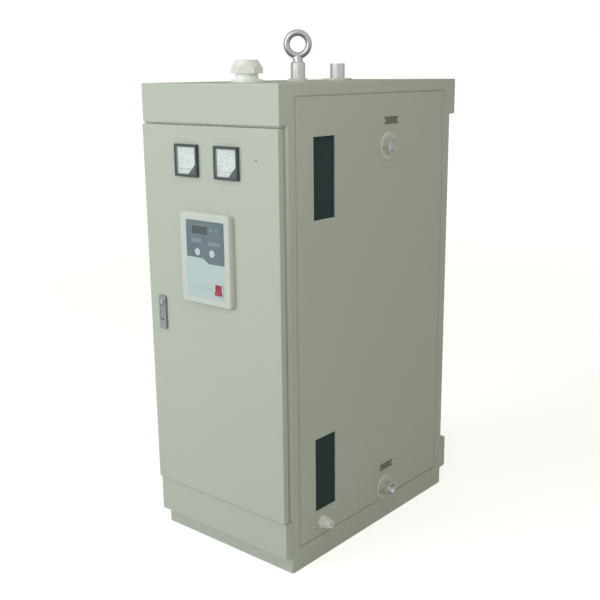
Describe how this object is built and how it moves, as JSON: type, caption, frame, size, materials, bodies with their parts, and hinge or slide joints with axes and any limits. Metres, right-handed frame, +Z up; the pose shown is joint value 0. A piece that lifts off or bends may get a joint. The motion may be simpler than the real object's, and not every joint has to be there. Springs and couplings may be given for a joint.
{
  "type": "industrial boiler",
  "caption": "Floor-standing electric boiler in a tall steel cabinet with a pivoted front door, side vents, pipe ports, roof filler and lifting eye.",
  "frame": {"origin": "centre of the base frame on the floor, under the base's cross rail", "axes": "+Z up, the door faces -Y, the water ports and the cable gland face +X"},
  "size_m": [0.6, 0.9358, 1.633],
  "materials": {
    "cabinet_paint": "fine-textured powder coat, pale grey-green",
    "galvanised": "galvanised sheet",
    "filter": "black filter mat behind fine mesh",
    "pipe_steel": "turned stainless steel",
    "rosette_steel": "pressed stainless steel",
    "eye_steel": "bright zinc on forged steel",
    "lock_chrome": "satin chrome on die-cast zinc",
    "white_plastic": "moulded white plastic",
    "control_plastic": "moulded off-white plastic",
    "membrane": "printed polyester membrane",
    "display": "dark acrylic window",
    "meter_black": "moulded black plastic",
    "meter_dial": "white dial plate",
    "meter_glass": "clear window",
    "rocker_red": "moulded red plastic"
  },
  "bodies": {
    "cabinet": {"base_rail_front": "cabinet_paint", "base_rail_rear": "cabinet_paint", "base_rail_left": "cabinet_paint", "base_rail_right": "cabinet_paint", "post_front_left": "cabinet_paint", "post_front_right": "cabinet_paint", "post_rear_left": "cabinet_paint", "post_rear_right": "cabinet_paint", "roof": "cabinet_paint", "front_header": "cabinet_paint", "front_sill": "cabinet_paint", "side_panel_right": "cabinet_paint", "side_panel_left": "cabinet_paint", "rear_panel": "cabinet_paint", "front_fascia": "cabinet_paint", "rear_fascia": "cabinet_paint", "front_kick": "cabinet_paint", "rear_kick": "cabinet_paint", "base_cross_rail": "galvanised", "floor_plate": "galvanised", "mounting_plate": "galvanised", "vent_filters_right": "filter", "vent_filters_left": "filter", "outlet_pipe": "pipe_steel", "inlet_pipe": "pipe_steel", "vent_stub": "pipe_steel", "eye_socket": "pipe_steel", "door_pivot_pins": "pipe_steel", "port_rosettes": "rosette_steel", "roof_rosettes": "rosette_steel", "lifting_eye": "eye_steel", "filler_neck": "white_plastic", "filler_cap": "white_plastic", "cable_gland": "white_plastic"},
    "door": {"door_panel": "cabinet_paint", "meter_cases": "meter_black", "meter_dials": "meter_dial", "meter_windows": "meter_glass", "control_housing": "control_plastic", "control_overlay": "membrane", "display_window": "display", "switch_bezel": "control_plastic", "lock_plate": "lock_chrome"},
    "lock_lever": {"lock_lever": "lock_chrome"},
    "rocker": {"power_rocker": "rocker_red"}
  },
  "joints": [
    {"name": "door_swing", "type": "hinge", "parent": "cabinet", "child": "door", "pos_m": [0.273, -0.4445, 0.7665], "axis": [0, 0, 1], "range_deg": [0, 120]},
    {"name": "lock_lever_fold", "type": "hinge", "parent": "door", "child": "lock_lever", "pos_m": [-0.219, -0.4641, 0.743], "axis": [1, 0, 0], "range_deg": [0, 40]},
    {"name": "rocker_tilt", "type": "hinge", "parent": "door", "child": "rocker", "pos_m": [0.0515, -0.4771, 0.875], "axis": [1, 0, 0], "range_deg": [0, 20]}
  ]
}
